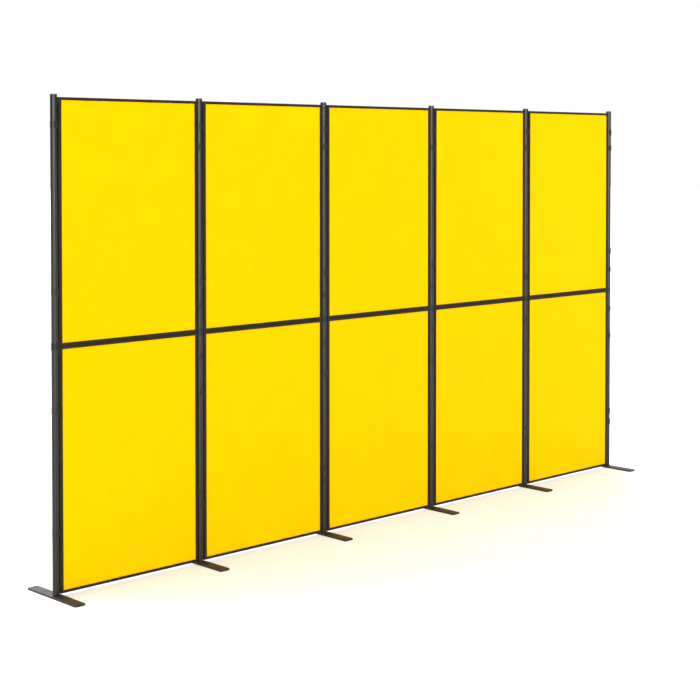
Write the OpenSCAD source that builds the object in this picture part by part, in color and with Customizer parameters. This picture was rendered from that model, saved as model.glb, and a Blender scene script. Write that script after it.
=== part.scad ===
// Free-standing screen of poles and panels: round poles on flat feet, with two framed fabric
// boards, one above the other, clipped between each pair of poles.
// X runs along the screen, -Y is its front, Z is up; the origin is on the floor under its middle.

/* [Screen] */
// Number of bays side by side
bays = 5; // [1:1:5]
// Gap between the upper and the lower board's frames
board_gap = 1; // [1:0.5:6]
// Gap between the foot's top and the lower frame, so that a bay swings over the feet
foot_clearance = 4; // [2:1:30]
// Gap between a pole's axis and the nearest frame edge
axis_to_frame = 18; // [17.5:0.5:30]

/* [Panel] */
// Width of a framed board
panel_w = 700; // [500:10:1000]
// Height of a framed board
panel_h = 1000; // [600:10:1200]
// Depth of the edge frame, front to back
frame_depth = 20; // [18:1:30]
// Width of the edge frame's face
frame_face = 12; // [11:0.5:18]
// Thickness of the board with its fabric
board_t = 14; // [10:1:16]
// Depth of the groove that grips the board
groove_depth = 6; // [4:0.5:6]
// Length of a corner piece's legs
corner_leg = 32; // [24:1:60]

/* [Pole] */
// Outer diameter of the pole tube
pole_d = 28; // [22:0.5:28]
// Wall of the pole tube
pole_wall = 1.5; // [1:0.25:2.5]
// Height of the pole above the upper frame
pole_above = 12; // [6:1:60]
// Length of a spigot inside a tube
spigot_reach = 60; // [40:5:120]
// Height of the collar between the two tubes
collar_h = 30; // [3:1:40]

/* [Foot] */
// Length of the foot plate, across the screen
foot_l = 350; // [300:10:600]
// Width of the foot plate
foot_w = 50; // [40:2:80]
// Thickness of the foot plate
foot_t = 8; // [6:1:12]

/* [Clips] */
// Height of a clip's ring
clip_h = 28; // [20:1:36]
// Wall of a clip's ring
clip_wall = 3; // [2:0.25:3]
// Half of the ring's mouth, in degrees
clip_mouth = 60; // [45:1:62]
// Heights of the clips on an upper board's left side, from the board's bottom edge
upper_left = [220, 890]; // [60:5:940]
// Heights of the clips on an upper board's right side, from the board's bottom edge
upper_right = [115, 805]; // [60:5:940]
// Heights of the clips on a lower board's left side, from the board's bottom edge
lower_left = [250, 740]; // [60:5:940]
// Heights of the clips on a lower board's right side, from the board's bottom edge
lower_right = [310, 895]; // [60:5:940]

/* [Hidden] */
$fn = 64;
pitch = panel_w + 2 * axis_to_frame;
lower_z = foot_t + foot_clearance;
upper_z = lower_z + panel_h + board_gap;
panel_top = upper_z + panel_h;
joint_z = upper_z - board_gap / 2;
cap_h = 4;
pole_top = panel_top + pole_above - cap_h;
pole_r = pole_d / 2;
bore_r = pole_r - pole_wall;
eps = 0.01;

// Fits: a clip turns on its pole, a spigot slides into its tube
turn_gap = 0.05;
slide_gap = 0.05;

// Edge frame section: rounded outer corners, the slot for the clips' feet
edge_r = 2;
board_play = 0.5;
slot_w = 5;
slot_lip = 1.5;
slot_head_w = 9;
slot_head_d = 2.2;

// Corner piece: stands a little proud of the extrusions, with keys in their slots
corner_proud = 0.4;
key_l = 18;
key_play = 0.2;

// Clip: shoulder against the frame, neck and head in its slot
shoulder_w = 12;
shoulder_gap = 0.2;
foot_play = 0.15;
ring_taper = 2;
lip_r = 1.3;

// Small features of the pole's ends and the foot
collar_d = pole_d + 2;
cap_d = pole_d + 1;
cap_edge_r = 2;
plug_l = 14;
corner_r = 5;
plate_edge = 1;

function axis_x(pole) = (pole - 1 - bays / 2) * pitch;
function bay_x(bay) = (bay - (bays + 1) / 2) * pitch;

PER_BAY = ["frame_upper_", "frame_lower_", "board_upper_", "board_lower_", "corners_", "clips_"];
PER_POLE = ["pole_lower_", "pole_upper_", "spigots_", "cap_", "foot_"];

// A rectangle about its centre with true round corners
module round_rect(w, h, r) {
    square([w - 2 * r, h], center = true);
    square([w, h - 2 * r], center = true);
    for (sx = [-1, 1], sy = [-1, 1])
        translate([sx * (w / 2 - r), sy * (h / 2 - r)]) circle(r);
}

// Section of the edge extrusion, outer edge at x = 0 and board side at x = -frame_face
module frame_section() {
    difference() {
        union() {
            translate([-frame_face / 2, 0]) round_rect(frame_face, frame_depth, edge_r);
            translate([-frame_face, -frame_depth / 2])
                square([frame_face / 2, frame_depth]);
        }
        // groove for the board
        translate([-frame_face - eps, -board_t / 2])
            square([groove_depth + eps, board_t]);
        // slot and head space for the clips' feet
        translate([-slot_lip - eps, -slot_w / 2]) square([slot_lip + 2 * eps, slot_w]);
        translate([-slot_lip - slot_head_d, -slot_head_w / 2])
            square([slot_head_d, slot_head_w]);
    }
}

// A length of the extrusion standing up, centred on z = 0
module extrusion(length) {
    linear_extrude(length, center = true) frame_section();
}

// Two stiles and two rails of one board, between its corner pieces
module edge_frame() {
    for (side = [0, 180]) {
        rotate([0, 0, side]) translate([panel_w / 2, 0, 0])
            extrusion(panel_h - 2 * corner_leg);
        rotate([0, side, 0]) translate([0, 0, panel_h / 2]) rotate([0, -90, 0])
            extrusion(panel_w - 2 * corner_leg);
    }
}

// Stiff core faced with fabric on both sides, its edges inside the frame's groove
module board() {
    inset = frame_face - groove_depth + board_play;
    cube([panel_w - 2 * inset, board_t, panel_h - 2 * inset], center = true);
}

// Section of a corner piece's leg, a little proud of the extrusion's faces
module corner_section() {
    depth = frame_depth + 2 * corner_proud;
    translate([-frame_face / 2, 0]) round_rect(frame_face, depth, edge_r);
    translate([-frame_face, -depth / 2]) square([frame_face / 2, depth]);
}

// Turns what stands up from the corner into what lies along the bottom edge
module along_bottom() {
    mirror([1, 0, 0]) rotate([0, 90, 0]) children();
}

// Key of a corner piece, a push fit in the head of the extrusion's slot
module corner_key() {
    play = key_play / 2;
    translate([-slot_lip - slot_head_d + play, -slot_head_w / 2 + play, corner_leg - eps])
        cube([slot_head_d - key_play, slot_head_w - key_play, key_l]);
}

// Corner piece for the lower right corner, that corner at the origin
module corner_piece() {
    difference() {
        union() {
            intersection() {
                linear_extrude(frame_face + eps) corner_section();
                along_bottom() linear_extrude(frame_face + eps) corner_section();
            }
            leg = corner_leg - frame_face;
            translate([0, 0, frame_face]) linear_extrude(leg) corner_section();
            along_bottom() translate([0, 0, frame_face]) linear_extrude(leg) corner_section();
        }
        // groove for the board's corner
        translate([-corner_leg - eps, -board_t / 2, frame_face - groove_depth])
            cube([corner_leg + eps - frame_face + groove_depth, board_t, corner_leg]);
    }
    corner_key();
    along_bottom() corner_key();
}

// The four corner pieces of one board
module panel_corners() {
    for (sx = [0, 1], sz = [0, 1])
        mirror([sx, 0, 0]) mirror([0, 0, sz])
            translate([panel_w / 2, 0, -panel_h / 2]) corner_piece();
}

// One clip on the axis x = 0, reaching along +X to its frame
module clip() {
    ring_r = pole_r + turn_gap + clip_wall;
    shoulder_x = axis_to_frame - shoulder_gap;
    linear_extrude(clip_h, center = true) {
        difference() {
            union() {
                // the wall thins towards the mouth
                translate([ring_taper / 2, 0]) circle(ring_r - ring_taper / 2);
                translate([0, -shoulder_w / 2]) square([shoulder_x, shoulder_w]);
            }
            circle(pole_r + turn_gap);
            rotate(180) polygon([
                [0, 0],
                [2 * ring_r * cos(clip_mouth), 2 * ring_r * sin(clip_mouth)],
                [2 * ring_r * cos(clip_mouth), -2 * ring_r * sin(clip_mouth)]
            ]);
        }
        // turned-out lips at the mouth
        for (side = [-1, 1])
            rotate(180 + side * clip_mouth)
                translate([pole_r + turn_gap + lip_r, 0]) circle(lip_r - turn_gap);
        // neck and head in the frame's slot
        translate([shoulder_x - eps, -slot_w / 2 + foot_play])
            square([slot_lip + shoulder_gap + foot_play + 2 * eps, slot_w - 2 * foot_play]);
        translate([axis_to_frame + slot_lip + foot_play, -slot_head_w / 2 + foot_play])
            square([slot_head_d - 2 * foot_play, slot_head_w - 2 * foot_play]);
    }
}

// The clips of one bay at both sides of one board, and the spare ones on the right end pole
module board_clips(bay, base, left, right) {
    for (z = left) {
        translate([axis_x(bay), 0, base + z]) clip();
        if (bay == bays) translate([axis_x(bay + 1), 0, base + z]) clip();
    }
    for (z = right)
        translate([axis_x(bay + 1), 0, base + z]) rotate(180) clip();
}

// A length of tube standing on z = 0
module tube(length) {
    difference() {
        cylinder(h = length, r = pole_r);
        translate([0, 0, -eps]) cylinder(h = length + 2 * eps, r = bore_r);
    }
}

// Joiner between the two tubes, with its collar, and the stud in the bottom of the lower tube
module spigots() {
    r = bore_r - slide_gap;
    translate([0, 0, joint_z - spigot_reach]) cylinder(h = 2 * spigot_reach, r = r);
    translate([0, 0, joint_z - collar_h / 2]) cylinder(h = collar_h, d = collar_d);
    translate([0, 0, foot_t]) cylinder(h = spigot_reach, r = r);
}

// Moulded cap: a head with a rounded rim and a plug inside the tube
module cap() {
    cap_r = cap_d / 2;
    rotate_extrude() {
        square([cap_r - cap_edge_r, cap_h]);
        square([cap_r, cap_h - cap_edge_r]);
        translate([cap_r - cap_edge_r, cap_h - cap_edge_r])
            intersection() {
                circle(cap_edge_r);
                square(cap_edge_r);
            }
        translate([0, -plug_l]) square([bore_r - slide_gap, plug_l + eps]);
    }
}

// Flat bar foot with round corners and a stepped-in top edge
module foot() {
    linear_extrude(foot_t - plate_edge) round_rect(foot_w, foot_l, corner_r);
    translate([0, 0, foot_t - plate_edge - eps])
        linear_extrude(plate_edge + eps)
            round_rect(foot_w - plate_edge, foot_l - plate_edge, corner_r - plate_edge / 2);
}

// Puts what is drawn about a board's centre at its place in a bay
module at_panel(bay, base) {
    translate([bay_x(bay), 0, base + panel_h / 2]) children();
}

for (bay = [1:bays]) {
    color("#2b2622") at_panel(bay, upper_z) edge_frame();
    color("#2b2622") at_panel(bay, lower_z) edge_frame();
    color("#ffe500") at_panel(bay, upper_z) board();
    color("#ffe500") at_panel(bay, lower_z) board();
    color("#3a332d")
            for (base = [lower_z, upper_z]) at_panel(bay, base) panel_corners();
    color("#1d1b1b") {
            board_clips(bay, lower_z, lower_left, lower_right);
            board_clips(bay, upper_z, upper_left, upper_right);
        }
}

for (pole = [1:bays + 1]) {
    color("#4a4647") translate([axis_x(pole), 0, foot_t])
            tube(joint_z - collar_h / 2 - foot_t);
    color("#4a4647") translate([axis_x(pole), 0, joint_z + collar_h / 2])
            tube(pole_top - joint_z - collar_h / 2);
    color("#37393a") translate([axis_x(pole), 0, 0]) spigots();
    color("#5b5f5a") translate([axis_x(pole), 0, pole_top]) cap();
    color("#3c3835") translate([axis_x(pole), 0, 0]) foot();
}
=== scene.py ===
"""Looks of a free-standing display screen: poles on flat feet, with framed loop-nylon boards
clipped between them, two high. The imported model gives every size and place."""

import math

import bmesh
import bpy
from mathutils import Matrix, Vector, noise


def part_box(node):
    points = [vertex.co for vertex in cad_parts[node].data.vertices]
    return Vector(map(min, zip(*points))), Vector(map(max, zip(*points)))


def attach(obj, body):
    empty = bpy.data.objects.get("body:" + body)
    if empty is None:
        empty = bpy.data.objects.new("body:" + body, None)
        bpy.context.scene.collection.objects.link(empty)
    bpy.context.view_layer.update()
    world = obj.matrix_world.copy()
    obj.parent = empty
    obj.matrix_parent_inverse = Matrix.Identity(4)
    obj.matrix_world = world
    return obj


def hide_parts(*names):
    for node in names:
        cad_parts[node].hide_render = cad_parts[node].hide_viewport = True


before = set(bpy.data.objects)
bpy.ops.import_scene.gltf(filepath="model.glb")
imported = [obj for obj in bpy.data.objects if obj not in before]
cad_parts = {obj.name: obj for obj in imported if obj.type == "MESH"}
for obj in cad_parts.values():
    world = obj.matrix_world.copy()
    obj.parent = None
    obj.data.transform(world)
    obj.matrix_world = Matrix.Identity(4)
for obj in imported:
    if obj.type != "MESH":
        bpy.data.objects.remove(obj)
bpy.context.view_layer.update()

MM = 0.001
BAYS = sum(1 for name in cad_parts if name.startswith("board_upper_"))
POLES = BAYS + 1
LEVELS = ("lower", "upper")

# Facings: the nylon is bonded to the core and tucked under the frame's lips
CLOTH_T = 0.85 * MM
TUCK_GAP = 0.05 * MM
TUCK = 5.5 * MM
SWELL = 0.7 * MM
SWELL_RUN = 9 * MM
RIPPLE = 0.22 * MM
RIPPLE_SIZE = 0.16
CLOTH_CELL = 24 * MM
CLOTH_EDGE_STEPS = (0.0, 2.5, TUCK / MM - 0.6, TUCK / MM + 0.3, 7, 8.2, 9.6, 11.4, 14, 19, 28)
UPPER_SEED = 10
BACK_SEED = 100
CORE_EDGE = 0.8 * MM

# Foot plate: rounded edges, a countersunk screw from below
PLATE_CORNER = 6 * MM
PLATE_TOP_ROUND = 1.4 * MM
PLATE_BASE_ROUND = 0.6 * MM
SCREW_HEAD_R = 8 * MM
SCREW_SINK = 4.4 * MM
SCREW_RECESS = 0.5 * MM
SCREW_SOCKET_R = 2.9 * MM
SCREW_SOCKET_D = 3.0 * MM
SCREW_HOLE_GAP = 0.3 * MM
SCREW_SIDES = 24
SCREW_TURN = 0.3

# Clip: snaps round the pole, its neck and head sit in the frame's slot
CLIP_TURN_GAP = 0.05 * MM
CLIP_MOUTH = math.radians(60)
CLIP_TAPER = 2 * MM
CLIP_SHOULDER_W = 12 * MM
CLIP_NECK_W = 4.7 * MM
CLIP_HEAD_W = 8.7 * MM
CLIP_HEAD_T = 1.9 * MM
CLIP_NECK_L = 1.85 * MM
CLIP_EDGE = 0.7 * MM
CLIP_LIP_R = 1.25 * MM
CLIP_END_GAP = 0.2 * MM

# Camera, in the frame's metres and in degrees
CAMERA_PLACE = (-5.216, -5.209, 1.789)
CAMERA_DOWN = 1.5
CAMERA_TURN = -43.944
CAMERA_LENS = 78.38
CAMERA_SHIFT = -0.2245

# Studio: a white tent, dim at its sides and bright overhead, with a wide low window of light
# in front on the left and a higher one behind, which lights the screen's back. Heights in the
# tent are sines of the angle above the horizon.
TENT_SIDE = 0.22
TENT_TOP = 1.75
TENT_RISE = (0.28, 0.80)
WINDOW_TURN = math.radians(236)
WINDOW_LIGHT = 11.8
WINDOW_WIDTH = (math.cos(math.radians(46)), math.cos(math.radians(26)))
WINDOW_FOOT = (-0.02, 0.02)
WINDOW_HEAD = (0.13, 0.27)
REAR_TURN = math.radians(90)
REAR_LIGHT = 5.0
REAR_WIDTH = (math.cos(math.radians(75)), math.cos(math.radians(35)))
REAR_FOOT = (0.22, 0.38)
REAR_HEAD = (0.55, 0.80)
BACKGROUND = 1.0
FLOOR_HALF = 60.0

# Moulded parts: dark and light colour, roughness, depth of the spark-eroded texture
CORNER_MOULDING = ((0.0125, 0.0090, 0.0046), (0.021, 0.0155, 0.0085), 0.5, 0.03 * MM)
JOINER_MOULDING = ((0.0085, 0.0095, 0.0085), (0.0130, 0.0142, 0.0128), 0.42, 0.02 * MM)
CAP_MOULDING = ((0.060, 0.066, 0.060), (0.085, 0.092, 0.083), 0.45, 0.02 * MM)
CLIP_NYLON = ((0.012, 0.0105, 0.0105), (0.018, 0.016, 0.016), 0.40, 0.015 * MM)


# ---- finishes -------------------------------------------------------------------------------


class Finish:
    """One node material, built a node at a time."""

    def __init__(self, name, colour, **sockets):
        self.material = bpy.data.materials.new(name)
        self.material.use_nodes = True
        self.material.diffuse_color = (*colour, 1)
        self.tree = self.material.node_tree
        self.shader = self.tree.nodes["Principled BSDF"]
        self.shader.inputs["Base Color"].default_value = (*colour, 1)
        for socket, value in sockets.items():
            self.shader.inputs[socket.replace("_", " ")].default_value = value
        self.place = self.node("ShaderNodeTexCoord").outputs["Object"]

    def node(self, kind, links=None, **settings):
        made = self.tree.nodes.new(kind)
        for name, value in settings.items():
            setattr(made, name, value)
        for socket, value in (links or {}).items():
            self.feed(made.inputs[socket], value)
        return made

    def feed(self, socket, value):
        if isinstance(value, bpy.types.NodeSocket):
            self.tree.links.new(value, socket)
        else:
            socket.default_value = value

    def to_shader(self, socket, value):
        self.tree.links.new(value, self.shader.inputs[socket])

    def stretched(self, scale):
        """Object coordinates with each axis scaled, in cells per metre."""
        mapping = self.node("ShaderNodeMapping", {"Vector": self.place, "Scale": scale})
        return mapping.outputs["Vector"]

    def grain(self, scale, detail=3.0, roughness=0.5, place=None):
        links = {
            "Vector": place or self.place,
            "Scale": scale,
            "Detail": detail,
            "Roughness": roughness,
        }
        return self.node("ShaderNodeTexNoise", links).outputs["Fac"]

    def cells(self, scale, place=None):
        links = {"Vector": place or self.place, "Scale": scale}
        return self.node("ShaderNodeTexVoronoi", links).outputs["Distance"]

    def spread(self, value, low, high, to_low=0.0, to_high=1.0):
        """Value taken from low..high to to_low..to_high, and held there."""
        links = {
            "Value": value,
            "From Min": low,
            "From Max": high,
            "To Min": to_low,
            "To Max": to_high,
        }
        return self.node("ShaderNodeMapRange", links).outputs["Result"]

    def sum(self, first, second, operation="ADD"):
        made = self.node("ShaderNodeMath", {0: first, 1: second}, operation=operation)
        return made.outputs[0]

    def blend(self, factor, first, second):
        links = {"Factor": factor}
        made = self.node("ShaderNodeMix", links, data_type="RGBA", clamp_factor=True)
        for socket, colour in ((6, first), (7, second)):
            if isinstance(colour, tuple):
                colour = (*colour, 1)
            self.feed(made.inputs[socket], colour)
        return made.outputs[2]

    def relief(self, *layers):
        """Bump layers, each (height, depth in metres), one on top of the other."""
        normal = None
        for height, depth in layers:
            links = {"Height": height, "Distance": depth, "Strength": 1.0}
            if normal:
                links["Normal"] = normal
            normal = self.node("ShaderNodeBump", links).outputs["Normal"]
        self.to_shader("Normal", normal)


def loop_nylon():
    """Bright yellow brushed loop fabric: fine pile with painted shade in the sunken gaps between
    loops, faint cloudy patches.
    """
    deep_and_shaded_yellow, bright = (0.56, 0.300, 0.0), (0.80, 0.474, 0.0)
    made = Finish(
        "loop_nylon",
        bright,
        Sheen_Weight=0.12,
        Sheen_Roughness=0.5,
        Sheen_Tint=(1.0, 0.80, 0.0, 1),
        Specular_IOR_Level=0.12,
        Specular_Tint=(1.0, 0.78, 0.0, 1),
    )
    loops = made.cells(620)
    knit = made.grain(1.0, 2.0, 0.6, made.stretched((520, 520, 900)))
    cloud = made.grain(9, 3.0)
    # Painted shade: where the loops' relief sinks between loops the colour goes darker; the knit
    # and cloud noise add random tone.
    loop_gap_shade_and_knit_tone = made.sum(made.spread(loops, 0.0, 0.75), made.spread(knit, 0.3, 0.7))
    tone_and_loop_gap_shade = made.sum(
        made.spread(loop_gap_shade_and_knit_tone, 0.3, 1.7, 1.0, 0.45),
        made.spread(cloud, 0.3, 0.7, -0.06, 0.06),
    )
    made.to_shader("Base Color", made.blend(tone_and_loop_gap_shade, deep_and_shaded_yellow, bright))
    made.to_shader("Roughness", made.spread(cloud, 0.25, 0.75, 0.82, 0.94))
    made.relief((loops, -0.22 * MM), (knit, 0.20 * MM))
    return made.material


def fibre_core():
    """Soft fibre board inside the facings."""
    light, dark = (0.42, 0.33, 0.22), (0.30, 0.23, 0.15)
    made = Finish("fibre_core", light, Specular_IOR_Level=0.2)
    strands = made.grain(1.0, 4.0, 0.6, made.stretched((240, 700, 240)))
    made.to_shader("Base Color", made.blend(made.spread(strands, 0.3, 0.7), dark, light))
    made.to_shader("Roughness", made.spread(strands, 0.2, 0.8, 0.8, 0.95))
    made.relief((strands, 0.3 * MM))
    return made.material


def extruded_plastic(bay_pitch, window_half):
    """Brown-black extrusion with faint drawn lines along each length."""
    dark, light = (0.0115, 0.0080, 0.0036), (0.019, 0.0135, 0.0064)
    made = Finish("extruded_plastic", dark, Specular_IOR_Level=0.16)
    across = made.node("ShaderNodeSeparateXYZ", {0: made.place}).outputs["X"]
    wrap = {0: across, 1: bay_pitch / 2, 2: -bay_pitch / 2}
    from_middle = made.node("ShaderNodeMath", wrap, operation="WRAP").outputs[0]
    from_middle = made.node("ShaderNodeMath", {0: from_middle}, operation="ABSOLUTE").outputs[0]
    upright = made.sum(from_middle, window_half, "GREATER_THAN")
    up_lines = made.grain(1.0, 2.0, 0.6, made.stretched((1500, 1500, 2)))
    along_lines = made.grain(1.0, 2.0, 0.6, made.stretched((2, 1500, 1500)))
    pick = made.node("ShaderNodeMix", {"Factor": upright})
    made.feed(pick.inputs[2], along_lines)
    made.feed(pick.inputs[3], up_lines)
    lines = pick.outputs[0]
    rubbed = made.grain(38, 4.0, 0.65)
    made.to_shader("Base Color", made.blend(made.spread(rubbed, 0.35, 0.75), dark, light))
    made.to_shader("Roughness", made.spread(rubbed, 0.3, 0.7, 0.42, 0.56))
    made.relief((lines, 0.035 * MM), (made.grain(900, 2.0), 0.01 * MM))
    return made.material


def moulded_plastic(name, dark, light, roughness, spark):
    """Injection moulding with a fine spark-eroded texture."""
    made = Finish(name, dark, Specular_IOR_Level=0.18)
    texture = made.grain(1400, 3.0, 0.6)
    flow = made.grain(22, 2.0)
    made.to_shader("Base Color", made.blend(made.spread(flow, 0.35, 0.7), dark, light))
    made.to_shader(
        "Roughness", made.spread(texture, 0.3, 0.7, roughness - 0.05, roughness + 0.05)
    )
    made.relief((texture, spark))
    return made.material


def pole_coat():
    """Satin powder coat on tube: orange peel, long faint rubs from sliding clips."""
    dark, light = (0.0052, 0.0038, 0.0042), (0.0098, 0.0076, 0.0080)
    made = Finish("pole_coat", dark, Specular_IOR_Level=0.37)
    peel = made.grain(420, 2.0, 0.55)
    rubs = made.grain(1.0, 3.0, 0.6, made.stretched((260, 260, 5)))
    made.to_shader("Base Color", made.blend(made.spread(rubs, 0.42, 0.75), dark, light))
    made.to_shader("Roughness", made.spread(rubs, 0.3, 0.72, 0.27, 0.34))
    made.relief((peel, 0.022 * MM))
    return made.material


def foot_coat():
    """Textured powder coat on flat bar: speckled, thin at the edges."""
    dark, light, bare = (0.013, 0.0105, 0.0085), (0.036, 0.030, 0.025), (0.13, 0.12, 0.11)
    made = Finish("foot_coat", dark, Specular_IOR_Level=0.22)
    speckle = made.grain(520, 3.0, 0.7)
    patch = made.grain(16, 3.0)
    body = made.blend(made.spread(speckle, 0.42, 0.68), dark, light)
    edge = made.node("ShaderNodeAttribute", attribute_name="worn_edge").outputs["Fac"]
    broken = made.spread(made.grain(130, 4.0, 0.7), 0.52, 0.66)
    wear = made.sum(made.sum(edge, broken, "MULTIPLY"), 0.55, "MULTIPLY")
    made.to_shader("Base Color", made.blend(wear, body, bare))
    made.to_shader("Roughness", made.spread(patch, 0.3, 0.7, 0.46, 0.58))
    made.relief((speckle, 0.09 * MM))
    return made.material


def zinc_screw():
    """Bright zinc on the foot's screw."""
    made = Finish("zinc_screw", (0.55, 0.55, 0.53), Metallic=1.0)
    tarnish = made.grain(240, 3.0, 0.6)
    made.to_shader(
        "Base Color",
        made.blend(made.spread(tarnish, 0.3, 0.7), (0.42, 0.42, 0.40), (0.60, 0.60, 0.58)),
    )
    made.to_shader("Roughness", made.spread(tarnish, 0.3, 0.7, 0.28, 0.44))
    made.relief((tarnish, 0.01 * MM))
    return made.material


def matt_floor():
    """Plain pale studio floor."""
    made = Finish("studio_floor", (0.88, 0.88, 0.88), Specular_IOR_Level=0.0, Roughness=1.0)
    return made.material


# ---- mesh helpers ---------------------------------------------------------------------------


def piece_from(name, points, faces, material):
    """A new mesh object from points and faces, with its normals outward."""
    mesh = bpy.data.meshes.new(name)
    mesh.from_pydata([tuple(p) for p in points], [], faces)
    mesh.materials.append(material)
    made = bpy.data.objects.new(name, mesh)
    bpy.context.collection.objects.link(made)
    work = bmesh.new()
    work.from_mesh(mesh)
    bmesh.ops.recalc_face_normals(work, faces=work.faces)
    work.to_mesh(mesh)
    work.free()
    mesh.shade_smooth()
    return made


def solids_of(node):
    """(lowest, highest corner) of each separate solid in a CAD node."""
    work = bmesh.new()
    work.from_mesh(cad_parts[node].data)
    bmesh.ops.remove_doubles(work, verts=work.verts, dist=0.001 * MM)
    left, found = set(work.verts), []
    while left:
        solid, edge = set(), [left.pop()]
        while edge:
            vert = edge.pop()
            solid.add(vert)
            for link in vert.link_edges:
                other = link.other_vert(vert)
                if other in left:
                    left.discard(other)
                    edge.append(other)
        low = Vector([min(v.co[i] for v in solid) for i in range(3)])
        high = Vector([max(v.co[i] for v in solid) for i in range(3)])
        found.append((low, high))
    work.free()
    return sorted(found, key=lambda ends: tuple(round(c, 5) for c in (*ends[0], *ends[1])))


def sharpen(piece, angle=35):
    """Keeps crisp edges crisp and the rest smooth."""
    work = bmesh.new()
    work.from_mesh(piece.data)
    for edge in work.edges:
        edge.smooth = edge.calc_face_angle(0.0) < math.radians(angle)
    work.to_mesh(piece.data)
    work.free()


# ---- boards ---------------------------------------------------------------------------------


def steps_across(half):
    """Places from -half to half: close together at the edges, even between."""
    edge = [-half + d * MM for d in CLOTH_EDGE_STEPS]
    start = edge[-1]
    count = max(2, round((half - start) / CLOTH_CELL))
    middle = [start - 2 * start * i / count for i in range(1, count)]
    return edge + middle + [-x for x in reversed(edge)]


def swell(distance):
    """How far the facing stands out at a distance inside the frame's lip, 0 to 1."""
    t = min(max(distance / SWELL_RUN, 0.0), 1.0)
    return t * t * (3 - 2 * t)


def facing(name, low, high, side, material, seed):
    """One stretched sheet of nylon on a board's front (-1) or back (1)."""
    middle = (low + high) / 2
    half_w, half_h = (high.x - low.x) / 2, (high.z - low.z) / 2
    tucked = high.y - TUCK_GAP
    xs, zs = steps_across(half_w), steps_across(half_h)
    points = []
    for z in zs:
        for x in xs:
            inside = min(half_w - abs(x), half_h - abs(z)) - TUCK
            rise = swell(inside)
            cloud = noise.noise(Vector((x / RIPPLE_SIZE, seed * 7.3, z / RIPPLE_SIZE)))
            y = tucked + rise * (SWELL + RIPPLE * cloud)
            points.append((middle.x + x, side * y, middle.z + z))
    wide = len(xs)
    faces = []
    for row in range(len(zs) - 1):
        for col in range(wide - 1):
            a = row * wide + col
            quad = (a, a + 1, a + wide + 1, a + wide)
            faces.append(quad if side < 0 else quad[::-1])
    mesh = bpy.data.meshes.new(name)
    mesh.from_pydata(points, [], faces)
    mesh.materials.append(material)
    mesh.shade_smooth()
    made = bpy.data.objects.new(name, mesh)
    bpy.context.collection.objects.link(made)
    thick = made.modifiers.new("cloth_thickness", "SOLIDIFY")
    thick.thickness = CLOTH_T
    thick.offset = -1
    return made


def core(name, low, high, material):
    """The stiff board inside, a little thinner than the groove to leave room for the nylon."""
    face = high.y - TUCK_GAP - CLOTH_T
    work = bmesh.new()
    bmesh.ops.create_cube(work, size=1.0)
    size = Vector((high.x - low.x, 2 * face, high.z - low.z))
    middle = (low + high) / 2
    for vert in work.verts:
        vert.co = Vector([vert.co[i] * size[i] + middle[i] for i in range(3)])
    bmesh.ops.bevel(
        work, geom=work.edges[:], offset=CORE_EDGE, segments=2, affect="EDGES", profile=0.5
    )
    mesh = bpy.data.meshes.new(name)
    work.to_mesh(mesh)
    work.free()
    mesh.materials.append(material)
    made = bpy.data.objects.new(name, mesh)
    bpy.context.collection.objects.link(made)
    return made


def make_board(bay, level, nylon, fibre):
    """A board: its core and its two facings, in place of the plain solid."""
    node = f"board_{level}_{bay}"
    low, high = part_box(node)
    body = f"bay_{bay}"
    inner = core(f"core_{level}_{bay}", low, high, fibre)
    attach(inner, body)
    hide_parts(node)
    for side, word in ((-1, "front"), (1, "back")):
        seed = bay + UPPER_SEED * (level == "upper") + BACK_SEED * (side > 0)
        cloth = facing(f"facing_{word}_{level}_{bay}", low, high, side, nylon, seed)
        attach(cloth, body)
        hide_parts(node)


# ---- clips ----------------------------------------------------------------------------------


def arc(centre, radius, start, end, count):
    """Points on an arc, both ends included, angles in radians."""
    return [
        (
            centre[0] + radius * math.cos(start + (end - start) * i / count),
            centre[1] + radius * math.sin(start + (end - start) * i / count),
        )
        for i in range(count + 1)
    ]


def clip_outline(bore, ring, reach):
    """The half at +Y of a clip seen from above, from its head's tip round to the bore at the
    X axis: head, neck, shoulder, tapering jaw, rolled lip, bore. It reaches along +X."""
    mouth = math.pi - CLIP_MOUTH
    shoulder, neck, head = CLIP_SHOULDER_W / 2, CLIP_NECK_W / 2, CLIP_HEAD_W / 2
    head_x = reach + CLIP_NECK_L
    ring_x = CLIP_TAPER / 2
    lip_at = bore + CLIP_LIP_R
    lip = Vector((lip_at * math.cos(mouth), lip_at * math.sin(mouth)))
    to_lip = lip - Vector((ring_x, 0))
    apart = to_lip.length
    overlap = (apart**2 + ring**2 - CLIP_LIP_R**2) / (2 * apart * ring)
    jaw_end = math.atan2(to_lip.y, to_lip.x) - math.acos(overlap)
    jaw = arc((ring_x, 0), ring, math.asin(shoulder / ring), jaw_end, 22)
    roll_start = math.atan2(jaw[-1][1] - lip.y, jaw[-1][0] - lip.x)
    corner = (reach - CLIP_EDGE, shoulder - CLIP_EDGE)
    return [
        (head_x + CLIP_HEAD_T, head),
        (head_x, head),
        (head_x, neck),
        (reach, neck),
        *arc(corner, CLIP_EDGE, 0, math.pi / 2, 3),
        *jaw,
        *arc(lip, CLIP_LIP_R, roll_start, mouth + math.pi, 10)[1:],
        *arc((0, 0), bore, mouth - 0.02, 0, 26),
    ]


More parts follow.
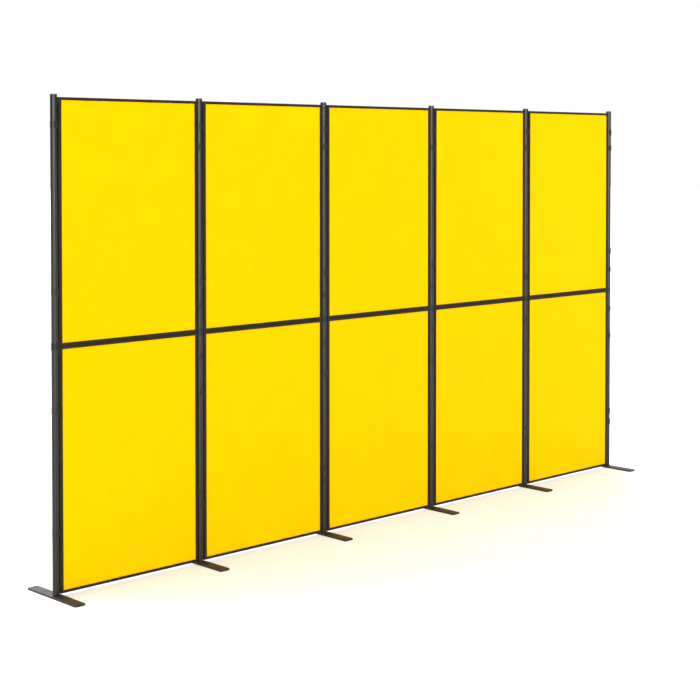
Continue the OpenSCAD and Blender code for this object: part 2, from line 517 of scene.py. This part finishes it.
def clip_shape(material):
    """One moulded clip about its own middle, its edges rounded, as a hidden master."""
    low, high = solids_of("clips_1")[0]
    pole_low, pole_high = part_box("pole_lower_1")
    bore = (pole_high.x - pole_low.x) / 2 + CLIP_TURN_GAP
    ring = (high.y - low.y) / 2
    frame_low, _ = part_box("frame_lower_1")
    reach = frame_low.x - (pole_low.x + pole_high.x) / 2 - CLIP_END_GAP
    half = clip_outline(bore, ring, reach)
    loop = half + [(x, -y) for x, y in reversed(half[:-1])]
    tall = high.z - low.z
    work = bmesh.new()
    base = [work.verts.new((x, y, -tall / 2)) for x, y in loop]
    bottom = work.faces.new(base[::-1])
    made = bmesh.ops.extrude_face_region(work, geom=[bottom])
    top = [v for v in made["geom"] if isinstance(v, bmesh.types.BMVert)]
    bmesh.ops.translate(work, verts=top, vec=(0, 0, tall))
    bmesh.ops.recalc_face_normals(work, faces=work.faces)
    rims = [e for e in work.edges if abs(e.verts[0].co.z - e.verts[1].co.z) < 0.1 * MM]
    bmesh.ops.bevel(
        work, geom=rims, offset=CLIP_EDGE * 0.6, segments=2, affect="EDGES", profile=0.6
    )
    bmesh.ops.triangulate(work, faces=[f for f in work.faces if len(f.verts) > 4])
    mesh = bpy.data.meshes.new("clip_shape")
    work.to_mesh(mesh)
    work.free()
    mesh.materials.append(material)
    mesh.shade_smooth()
    made = bpy.data.objects.new("clip_shape", mesh)
    sharpen(made, 40)
    return made


def node_tree(name, inputs):
    """A new Geometry Nodes tree with a geometry in and out and the named inputs."""
    tree = bpy.data.node_groups.new(name, "GeometryNodeTree")
    face = tree.interface
    face.new_socket("Geometry", in_out="INPUT", socket_type="NodeSocketGeometry")
    for label, kind in inputs:
        face.new_socket(label, in_out="INPUT", socket_type=kind)
    face.new_socket("Geometry", in_out="OUTPUT", socket_type="NodeSocketGeometry")
    return tree


def placed_copies_tree():
    """Puts a copy of a shape at every point, turned about Z by the point's own turn."""
    tree = node_tree(
        "placed_copies",
        (
            ("Shape", "NodeSocketObject"),
            ("Scale", "NodeSocketFloat"),
            ("Finish", "NodeSocketMaterial"),
        ),
    )
    nodes, link = tree.nodes, tree.links.new
    start, end = nodes.new("NodeGroupInput"), nodes.new("NodeGroupOutput")
    shape = nodes.new("GeometryNodeObjectInfo")
    turn = nodes.new("GeometryNodeInputNamedAttribute")
    turn.data_type = "FLOAT"
    turn.inputs["Name"].default_value = "turn"
    turned = nodes.new("ShaderNodeCombineXYZ")
    copies = nodes.new("GeometryNodeInstanceOnPoints")
    real = nodes.new("GeometryNodeRealizeInstances")
    finish = nodes.new("GeometryNodeSetMaterial")
    link(start.outputs["Shape"], shape.inputs["Object"])
    link(turn.outputs["Attribute"], turned.inputs["Z"])
    link(start.outputs["Geometry"], copies.inputs["Points"])
    link(shape.outputs["Geometry"], copies.inputs["Instance"])
    link(turned.outputs["Vector"], copies.inputs["Rotation"])
    link(start.outputs["Scale"], copies.inputs["Scale"])
    link(copies.outputs["Instances"], real.inputs["Geometry"])
    link(real.outputs["Geometry"], finish.inputs["Geometry"])
    link(start.outputs["Finish"], finish.inputs["Material"])
    link(finish.outputs["Geometry"], end.inputs["Geometry"])
    return tree


def copies_at(name, tree, shape, places, material):
    """A plain mesh piece with a copy of the shape at each (place, turn)."""
    mesh = bpy.data.meshes.new(name + "_points")
    mesh.from_pydata([tuple(place) for place, _ in places], [], [])
    turns = mesh.attributes.new("turn", "FLOAT", "POINT")
    turns.data.foreach_set("value", [turn for _, turn in places])
    holder = bpy.data.objects.new(name + "_points", mesh)
    bpy.context.collection.objects.link(holder)
    modifier = holder.modifiers.new("copies", "NODES")
    modifier.node_group = tree
    sockets = {s.name: s.identifier for s in tree.interface.items_tree if s.in_out == "INPUT"}
    modifier[sockets["Shape"]] = shape
    modifier[sockets["Scale"]] = 1.0
    modifier[sockets["Finish"]] = material
    graph = bpy.context.evaluated_depsgraph_get()
    graph.update()
    made_mesh = bpy.data.meshes.new_from_object(holder.evaluated_get(graph))
    made_mesh.name = name
    bpy.data.objects.remove(holder)
    made = bpy.data.objects.new(name, made_mesh)
    bpy.context.collection.objects.link(made)
    return made


def make_clips(tree, shape, material):
    """Every bay's clips, each where its own solid is and facing the way that it reaches."""
    for bay in range(1, BAYS + 1):
        node = f"clips_{bay}"
        places = []
        for low, high in solids_of(node):
            axis, turn = clip_place(low, high)
            places.append((Vector((axis, 0, (low.z + high.z) / 2)), turn))
        piece = copies_at(f"clip_set_{bay}", tree, shape, places, material)
        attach(piece, f"bay_{bay}")
        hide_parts(node)


def clip_place(low, high):
    """The pole axis that a clip is on, and 0 where it reaches along +X or pi along -X."""
    for pole in range(1, POLES + 1):
        pole_low, pole_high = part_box(f"pole_lower_{pole}")
        axis = (pole_low.x + pole_high.x) / 2
        if low.x < axis < high.x:
            return axis, 0.0 if high.x - axis > axis - low.x else math.pi
    raise ValueError("a clip is on no pole")


# ---- feet -----------------------------------------------------------------------------------


def rounded_outline(half_w, half_l, radius, count=8):
    """A rectangle with round corners about the origin, counter-clockwise."""
    corners = ((1, 1, 0), (-1, 1, 1), (-1, -1, 2), (1, -1, 3))
    points = []
    for sx, sy, quarter in corners:
        centre = (sx * (half_w - radius), sy * (half_l - radius))
        start = quarter * math.pi / 2
        points += arc(centre, radius, start, start + math.pi / 2, count)
    return points


def plate_levels(thick):
    """(inset, height, wear) of each ring round the plate, from its base to its top."""
    base, top = PLATE_BASE_ROUND, PLATE_TOP_ROUND
    rings = []
    for i in range(4):
        angle = math.pi / 2 * i / 3
        rings.append((base * (1 - math.sin(angle)), base * (1 - math.cos(angle)), 0.5))
    rings.append((0.0, base + 1.2 * MM, 0.0))
    rings.append((0.0, thick - top - 0.8 * MM, 0.0))
    for i in range(6):
        angle = math.pi / 2 * i / 5
        at_edge = 1.0 if 0 < i < 5 else 0.6
        rings.append((top * (1 - math.cos(angle)), thick - top * (1 - math.sin(angle)), at_edge))
    rings.append((top + 1.5 * MM, thick, 0.0))
    return rings


def make_foot(pole, material):
    """Flat bar foot with round edges and a countersunk hole below, in place of the plain one."""
    node = f"foot_{pole}"
    low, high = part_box(node)
    middle = (low + high) / 2
    half_w, half_l, thick = (high.x - low.x) / 2, (high.y - low.y) / 2, high.z - low.z
    points, faces, wear = [], [], []

    def ring(outline, z, worn):
        start = len(points)
        points.extend((middle.x + x, middle.y + y, z) for x, y in outline)
        wear.extend([worn] * len(outline))
        return list(range(start, start + len(outline)))

    def join(first, second):
        count = len(first)
        for i in range(count):
            j = (i + 1) % count
            faces.append((first[i], first[j], second[j], second[i]))

    rings = [
        ring(rounded_outline(half_w - d, half_l - d, PLATE_CORNER - d * 0.8), z, worn)
        for d, z, worn in plate_levels(thick)
    ]
    for first, second in zip(rings, rings[1:]):
        join(first, second)
    faces.append(tuple(rings[-1]))
    outline = rounded_outline(half_w, half_l, PLATE_CORNER)
    hole_r = SCREW_HEAD_R + SCREW_HOLE_GAP
    sink_r = SCREW_HEAD_R * 0.5
    around = [math.atan2(y / half_l, x / half_w) for x, y in outline]
    mouth = ring([(hole_r * math.cos(a), hole_r * math.sin(a)) for a in around], 0.0, 0.0)
    floor = ring(
        [(sink_r * math.cos(a), sink_r * math.sin(a)) for a in around], SCREW_SINK, 0.0
    )
    join(mouth, rings[0])
    join(floor, mouth)
    faces.append(tuple(floor[::-1]))
    piece = piece_from(f"foot_plate_{pole}", points, faces, material)
    worn_edge = piece.data.attributes.new("worn_edge", "FLOAT", "POINT")
    worn_edge.data.foreach_set("value", wear)
    sharpen(piece, 32)
    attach(piece, f"post_{pole}")
    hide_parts(node)


def screw_shape(material):
    """Countersunk socket screw head facing down, its face at z = 0, as a hidden master."""
    count = SCREW_SIDES
    profile = (
        (SCREW_SOCKET_R * 0.2, SCREW_SOCKET_D + 0.5 * MM),
        (SCREW_SOCKET_R, SCREW_SOCKET_D),
        (SCREW_SOCKET_R, 0.25 * MM),
        (SCREW_SOCKET_R + 0.3 * MM, 0.0),
        (SCREW_HEAD_R - 0.5 * MM, 0.0),
        (SCREW_HEAD_R, 0.4 * MM),
        (SCREW_HEAD_R * 0.5, SCREW_SINK - SCREW_RECESS),
    )
    points, faces = [], []
    for level, (radius, z) in enumerate(profile):
        for i in range(count):
            angle = 2 * math.pi * i / count
            six_sided = math.cos(math.pi / 6) / math.cos(
                (angle % (math.pi / 3)) - math.pi / 6
            )
            at = radius * (six_sided if level in (1, 2) else 1.0)
            points.append((at * math.cos(angle), at * math.sin(angle), z))
    for level in range(len(profile) - 1):
        for i in range(count):
            j = (i + 1) % count
            a, b = level * count, (level + 1) * count
            faces.append((a + i, a + j, b + j, b + i))
    faces.append(tuple(range(count)))
    faces.append(tuple(range((len(profile) - 1) * count, len(profile) * count)))
    made = piece_from("screw_shape", points, faces, material)
    sharpen(made, 30)
    bpy.context.collection.objects.unlink(made)
    return made


def make_foot_screws(tree, shape, material):
    """The screw that holds each pole's stud to its foot, seen from below."""
    for pole in range(1, POLES + 1):
        low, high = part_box(f"foot_{pole}")
        middle = (low + high) / 2
        places = [(Vector((middle.x, middle.y, SCREW_RECESS)), SCREW_TURN * pole)]
        piece = copies_at(f"foot_screw_{pole}", tree, shape, places, material)
        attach(piece, f"post_{pole}")


# ---- kept nodes -----------------------------------------------------------------------------


def finish_nodes(prefixes, material):
    """Gives every CAD node whose name starts so its material."""
    for name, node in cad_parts.items():
        if name.startswith(prefixes):
            node.data.materials.clear()
            node.data.materials.append(material)


# ---- studio ---------------------------------------------------------------------------------


def make_floor(material):
    """A wide plain floor at the height of the feet's undersides."""
    mesh = bpy.data.meshes.new("studio_floor")
    half = FLOOR_HALF
    corners = [(-half, -half, 0), (half, -half, 0), (half, half, 0), (-half, half, 0)]
    mesh.from_pydata(corners, [], [(0, 1, 2, 3)])
    mesh.materials.append(material)
    floor = bpy.data.objects.new("studio_floor", mesh)
    bpy.context.collection.objects.link(floor)


def make_light():
    """The studio tent as a world; the camera sees it plain white."""
    world = bpy.data.worlds.new("studio_tent")
    world.use_nodes = True
    nodes, link = world.node_tree.nodes, world.node_tree.links.new

    def step(value, ends, low=0.0, high=1.0):
        made = nodes.new("ShaderNodeMapRange")
        made.interpolation_type = "SMOOTHSTEP"
        ranges = ("From Min", "From Max", "To Min", "To Max")
        for socket, number in zip(ranges, (*ends, low, high)):
            made.inputs[socket].default_value = number
        link(value, made.inputs["Value"])
        return made.outputs["Result"]

    def math_of(operation, first, second):
        made = nodes.new("ShaderNodeMath")
        made.operation = operation
        for socket, value in zip(made.inputs, (first, second)):
            if isinstance(value, float):
                socket.default_value = value
            else:
                link(value, socket)
        return made.outputs[0]

    towards = nodes.new("ShaderNodeTexCoord").outputs["Generated"]
    height = nodes.new("ShaderNodeSeparateXYZ")
    link(towards, height.inputs[0])
    height = height.outputs["Z"]
    level = nodes.new("ShaderNodeVectorMath")
    level.operation = "MULTIPLY"
    level.inputs[1].default_value = (1, 1, 0)
    link(towards, level.inputs[0])
    unit = nodes.new("ShaderNodeVectorMath")
    unit.operation = "NORMALIZE"
    link(level.outputs[0], unit.inputs[0])

    def window(turn, light, width, foot, head):
        """A patch of light centred on a turn about Z, soft at its sides, foot and head."""
        along = nodes.new("ShaderNodeVectorMath")
        along.operation = "DOT_PRODUCT"
        along.inputs[1].default_value = (math.cos(turn), math.sin(turn), 0)
        link(unit.outputs[0], along.inputs[0])
        across = step(along.outputs["Value"], width)
        raised = math_of("MULTIPLY", across, step(height, foot))
        return math_of("MULTIPLY", raised, step(height, head, light, 0.0))

    front = window(WINDOW_TURN, WINDOW_LIGHT, WINDOW_WIDTH, WINDOW_FOOT, WINDOW_HEAD)
    rear = window(REAR_TURN, REAR_LIGHT, REAR_WIDTH, REAR_FOOT, REAR_HEAD)
    windows = math_of("ADD", front, rear)
    strength = math_of("ADD", step(height, TENT_RISE, TENT_SIDE, TENT_TOP), windows)

    tent, seen = nodes["Background"], nodes.new("ShaderNodeBackground")
    for sky in (tent, seen):
        sky.inputs["Color"].default_value = (1, 1, 1, 1)
    link(strength, tent.inputs["Strength"])
    seen.inputs["Strength"].default_value = BACKGROUND
    ray, pick = nodes.new("ShaderNodeLightPath"), nodes.new("ShaderNodeMixShader")
    link(ray.outputs["Is Camera Ray"], pick.inputs[0])
    link(tent.outputs[0], pick.inputs[1])
    link(seen.outputs[0], pick.inputs[2])
    link(pick.outputs[0], nodes["World Output"].inputs["Surface"])
    bpy.context.scene.world = world


def make_camera():
    """The camera, with its place, tilt, turn and lens from the values above."""
    lens = bpy.data.cameras.new("camera")
    lens.sensor_width = 36
    lens.lens = CAMERA_LENS
    lens.shift_y = CAMERA_SHIFT
    camera = bpy.data.objects.new("camera", lens)
    camera.location = CAMERA_PLACE
    camera.rotation_euler = (
        math.radians(90 - CAMERA_DOWN),
        0,
        math.radians(CAMERA_TURN),
    )
    bpy.context.collection.objects.link(camera)
    bpy.context.scene.camera = camera


# ---- the whole screen -----------------------------------------------------------------------


def main():
    """Builds the studio, gives the kept nodes their finishes and makes the other pieces."""
    bpy.context.scene.view_settings.view_transform = "Standard"
    make_camera()
    make_light()
    make_floor(matt_floor())

    first_low, first_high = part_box("frame_lower_1")
    next_low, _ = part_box("frame_lower_2")
    pitch = next_low.x - first_low.x
    board_low, board_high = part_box("board_lower_1")
    window_half = (board_high.x - board_low.x) / 2 - TUCK
    finish_nodes("frame_", extruded_plastic(pitch, window_half - MM))
    finish_nodes("corners_", moulded_plastic("corner_moulding", *CORNER_MOULDING))
    finish_nodes("pole_", pole_coat())
    finish_nodes("spigots_", moulded_plastic("joiner_moulding", *JOINER_MOULDING))
    finish_nodes("cap_", moulded_plastic("cap_moulding", *CAP_MOULDING))

    nylon, fibre = loop_nylon(), fibre_core()
    for bay in range(1, BAYS + 1):
        for level in LEVELS:
            make_board(bay, level, nylon, fibre)

    tree = placed_copies_tree()
    clip_black = moulded_plastic("clip_nylon", *CLIP_NYLON)
    make_clips(tree, clip_shape(clip_black), clip_black)
    coat, zinc = foot_coat(), zinc_screw()
    for pole in range(1, POLES + 1):
        make_foot(pole, coat)
    make_foot_screws(tree, screw_shape(zinc), zinc)


main()
